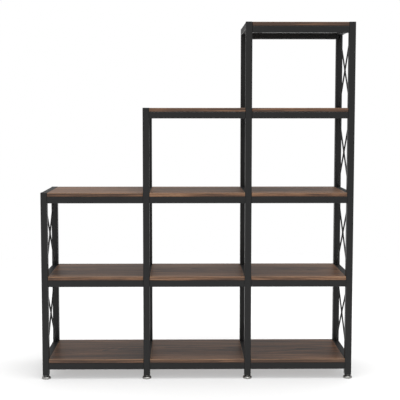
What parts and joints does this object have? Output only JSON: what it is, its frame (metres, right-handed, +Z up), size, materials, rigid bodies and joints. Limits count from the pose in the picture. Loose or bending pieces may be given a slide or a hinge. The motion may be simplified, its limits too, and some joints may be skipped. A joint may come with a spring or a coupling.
{
  "type": "staircase bookshelf",
  "caption": "Stepped open bookshelf: dark wood-grain boards on a black square-tube steel frame, crossed rods at both ends, screw-in levelling feet.",
  "frame": {"origin": "on the floor, under the middle of the shelf's width and depth", "axes": "+Z up, +X along the shelf from its low end to its high end, the front faces -Y"},
  "size_m": [1.21, 0.311, 1.3748],
  "materials": {
    "powder_coated_steel": "satin charcoal-black powder coat on square steel tube",
    "walnut_board": "satin dark walnut grain along the shelf, on boards with eased edges",
    "plated_steel": "bright nickel-plated pressed steel"
  },
  "bodies": {
    "shelf": {"frame_left_end": "powder_coated_steel", "frame_middle_left": "powder_coated_steel", "frame_middle_right": "powder_coated_steel", "frame_right_end": "powder_coated_steel", "rail_left_1_front": "powder_coated_steel", "rail_left_1_back": "powder_coated_steel", "board_left_1": "walnut_board", "rail_left_2_front": "powder_coated_steel", "rail_left_2_back": "powder_coated_steel", "board_left_2": "walnut_board", "rail_left_3_front": "powder_coated_steel", "rail_left_3_back": "powder_coated_steel", "board_left_3": "walnut_board", "rail_middle_1_front": "powder_coated_steel", "rail_middle_1_back": "powder_coated_steel", "board_middle_1": "walnut_board", "rail_middle_2_front": "powder_coated_steel", "rail_middle_2_back": "powder_coated_steel", "board_middle_2": "walnut_board", "rail_middle_3_front": "powder_coated_steel", "rail_middle_3_back": "powder_coated_steel", "board_middle_3": "walnut_board", "rail_middle_4_front": "powder_coated_steel", "rail_middle_4_back": "powder_coated_steel", "board_middle_4": "walnut_board", "rail_right_1_front": "powder_coated_steel", "rail_right_1_back": "powder_coated_steel", "board_right_1": "walnut_board", "rail_right_2_front": "powder_coated_steel", "rail_right_2_back": "powder_coated_steel", "board_right_2": "walnut_board", "rail_right_3_front": "powder_coated_steel", "rail_right_3_back": "powder_coated_steel", "board_right_3": "walnut_board", "rail_right_4_front": "powder_coated_steel", "rail_right_4_back": "powder_coated_steel", "board_right_4": "walnut_board", "rail_right_5_front": "powder_coated_steel", "rail_right_5_back": "powder_coated_steel", "board_right_5": "walnut_board"},
    "pad_left_end_front": {"pad_left_end_front": "plated_steel"},
    "stud_left_end_front": {"stud_left_end_front": "plated_steel"},
    "pad_left_end_back": {"pad_left_end_back": "plated_steel"},
    "stud_left_end_back": {"stud_left_end_back": "plated_steel"},
    "pad_middle_left_front": {"pad_middle_left_front": "plated_steel"},
    "stud_middle_left_front": {"stud_middle_left_front": "plated_steel"},
    "pad_middle_left_back": {"pad_middle_left_back": "plated_steel"},
    "stud_middle_left_back": {"stud_middle_left_back": "plated_steel"},
    "pad_middle_right_front": {"pad_middle_right_front": "plated_steel"},
    "stud_middle_right_front": {"stud_middle_right_front": "plated_steel"},
    "pad_middle_right_back": {"pad_middle_right_back": "plated_steel"},
    "stud_middle_right_back": {"stud_middle_right_back": "plated_steel"},
    "pad_right_end_front": {"pad_right_end_front": "plated_steel"},
    "stud_right_end_front": {"stud_right_end_front": "plated_steel"},
    "pad_right_end_back": {"pad_right_end_back": "plated_steel"},
    "stud_right_end_back": {"stud_right_end_back": "plated_steel"}
  },
  "joints": [
    {"name": "left_end_front_height", "type": "slide", "parent": "shelf", "child": "pad_left_end_front", "axis": [0, 0, -1], "range_m": [0, 0.01]},
    {"name": "left_end_front_turn", "type": "hinge", "parent": "pad_left_end_front", "child": "stud_left_end_front", "pos_m": [-0.5875, -0.1375, 0], "axis": [0, 0, -1], "range_deg": [0, 2880]},
    {"name": "left_end_back_height", "type": "slide", "parent": "shelf", "child": "pad_left_end_back", "axis": [0, 0, -1], "range_m": [0, 0.01]},
    {"name": "left_end_back_turn", "type": "hinge", "parent": "pad_left_end_back", "child": "stud_left_end_back", "pos_m": [-0.5875, 0.1375, 0], "axis": [0, 0, -1], "range_deg": [0, 2880]},
    {"name": "middle_left_front_height", "type": "slide", "parent": "shelf", "child": "pad_middle_left_front", "axis": [0, 0, -1], "range_m": [0, 0.01]},
    {"name": "middle_left_front_turn", "type": "hinge", "parent": "pad_middle_left_front", "child": "stud_middle_left_front", "pos_m": [-0.19583, -0.1375, 0], "axis": [0, 0, -1], "range_deg": [0, 2880]},
    {"name": "middle_left_back_height", "type": "slide", "parent": "shelf", "child": "pad_middle_left_back", "axis": [0, 0, -1], "range_m": [0, 0.01]},
    {"name": "middle_left_back_turn", "type": "hinge", "parent": "pad_middle_left_back", "child": "stud_middle_left_back", "pos_m": [-0.19583, 0.1375, 0], "axis": [0, 0, -1], "range_deg": [0, 2880]},
    {"name": "middle_right_front_height", "type": "slide", "parent": "shelf", "child": "pad_middle_right_front", "axis": [0, 0, -1], "range_m": [0, 0.01]},
    {"name": "middle_right_front_turn", "type": "hinge", "parent": "pad_middle_right_front", "child": "stud_middle_right_front", "pos_m": [0.19583, -0.1375, 0], "axis": [0, 0, -1], "range_deg": [0, 2880]},
    {"name": "middle_right_back_height", "type": "slide", "parent": "shelf", "child": "pad_middle_right_back", "axis": [0, 0, -1], "range_m": [0, 0.01]},
    {"name": "middle_right_back_turn", "type": "hinge", "parent": "pad_middle_right_back", "child": "stud_middle_right_back", "pos_m": [0.19583, 0.1375, 0], "axis": [0, 0, -1], "range_deg": [0, 2880]},
    {"name": "right_end_front_height", "type": "slide", "parent": "shelf", "child": "pad_right_end_front", "axis": [0, 0, -1], "range_m": [0, 0.01]},
    {"name": "right_end_front_turn", "type": "hinge", "parent": "pad_right_end_front", "child": "stud_right_end_front", "pos_m": [0.5875, -0.1375, 0], "axis": [0, 0, -1], "range_deg": [0, 2880]},
    {"name": "right_end_back_height", "type": "slide", "parent": "shelf", "child": "pad_right_end_back", "axis": [0, 0, -1], "range_m": [0, 0.01]},
    {"name": "right_end_back_turn", "type": "hinge", "parent": "pad_right_end_back", "child": "stud_right_end_back", "pos_m": [0.5875, 0.1375, 0], "axis": [0, 0, -1], "range_deg": [0, 2880]}
  ],
  "couplings": [
    {"joint": "left_end_front_turn", "follows": "left_end_front_height", "rad_per_m": 5026.5},
    {"joint": "left_end_back_turn", "follows": "left_end_back_height", "rad_per_m": 5026.5},
    {"joint": "middle_left_front_turn", "follows": "middle_left_front_height", "rad_per_m": 5026.5},
    {"joint": "middle_left_back_turn", "follows": "middle_left_back_height", "rad_per_m": 5026.5},
    {"joint": "middle_right_front_turn", "follows": "middle_right_front_height", "rad_per_m": 5026.5},
    {"joint": "middle_right_back_turn", "follows": "middle_right_back_height", "rad_per_m": 5026.5},
    {"joint": "right_end_front_turn", "follows": "right_end_front_height", "rad_per_m": 5026.5},
    {"joint": "right_end_back_turn", "follows": "right_end_back_height", "rad_per_m": 5026.5}
  ]
}
